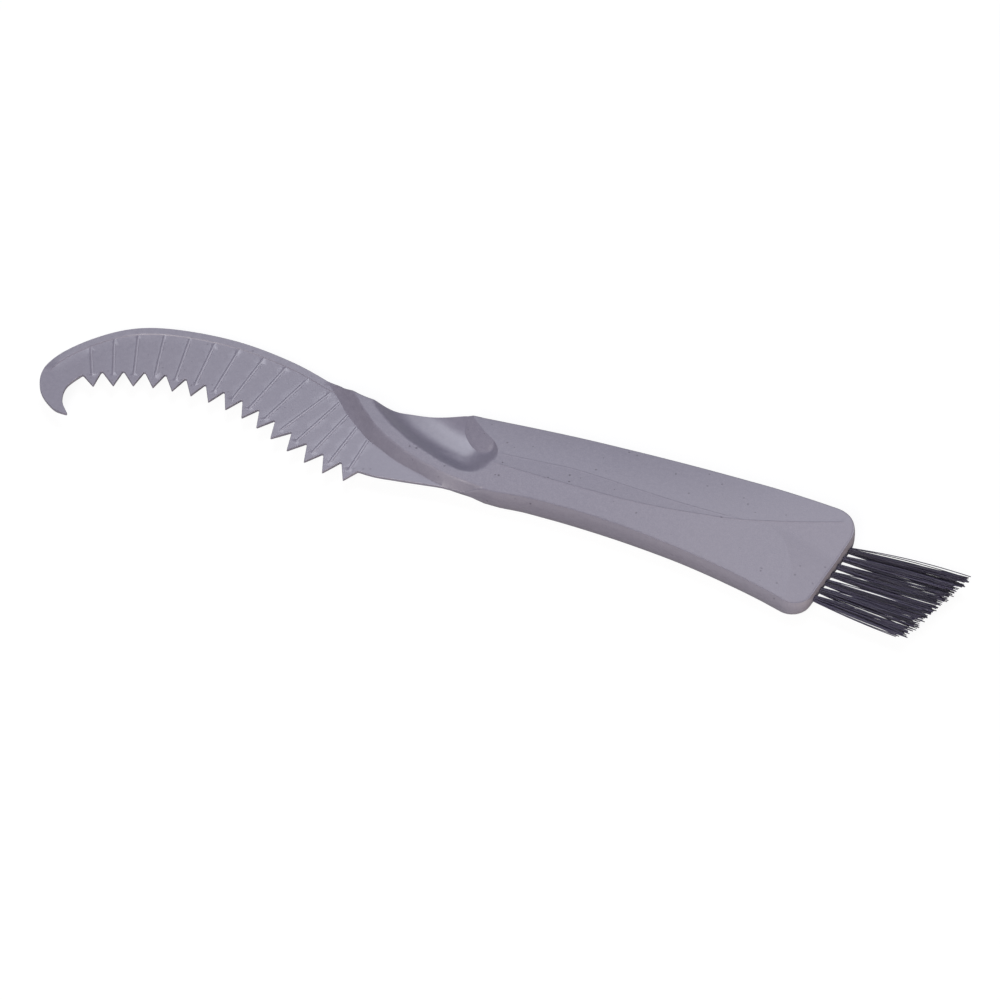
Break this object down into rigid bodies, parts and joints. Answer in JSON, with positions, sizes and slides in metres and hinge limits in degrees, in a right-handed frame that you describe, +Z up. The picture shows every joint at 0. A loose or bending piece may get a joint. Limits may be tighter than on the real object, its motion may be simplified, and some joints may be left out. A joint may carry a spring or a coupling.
{
  "type": "sprocket cleaning brush",
  "caption": "Flat moulded hand tool with a hooked, saw-toothed claw, a thumb scoop at the neck and a row of stiff dark bristle tufts in its wide end, for scraping and brushing sprockets.",
  "frame": {"origin": "middle of the part's box, on the plane of the grip's underside", "axes": "+X along the tool from claw to brush, +Y across it from the toothed side to the spine, +Z up through its thickness"},
  "size_m": [0.233, 0.0392, 0.008],
  "materials": {
    "handle_plastic": "satin moulded plastic with a fine grain",
    "bristle_nylon": "dark nylon filament with a soft sheen",
    "anchor_wire": "drawn flat wire"
  },
  "bodies": {
    "root": {"handle": "handle_plastic", "bristle_tufts_1_2": "bristle_nylon", "bristle_tufts_3_4": "bristle_nylon", "bristle_tufts_5_6": "bristle_nylon", "bristle_tufts_7": "bristle_nylon", "tuft_anchor_1": "anchor_wire", "tuft_anchor_2": "anchor_wire", "tuft_anchor_3": "anchor_wire", "tuft_anchor_4": "anchor_wire", "tuft_anchor_5": "anchor_wire", "tuft_anchor_6": "anchor_wire", "tuft_anchor_7": "anchor_wire"}
  },
  "joints": []
}
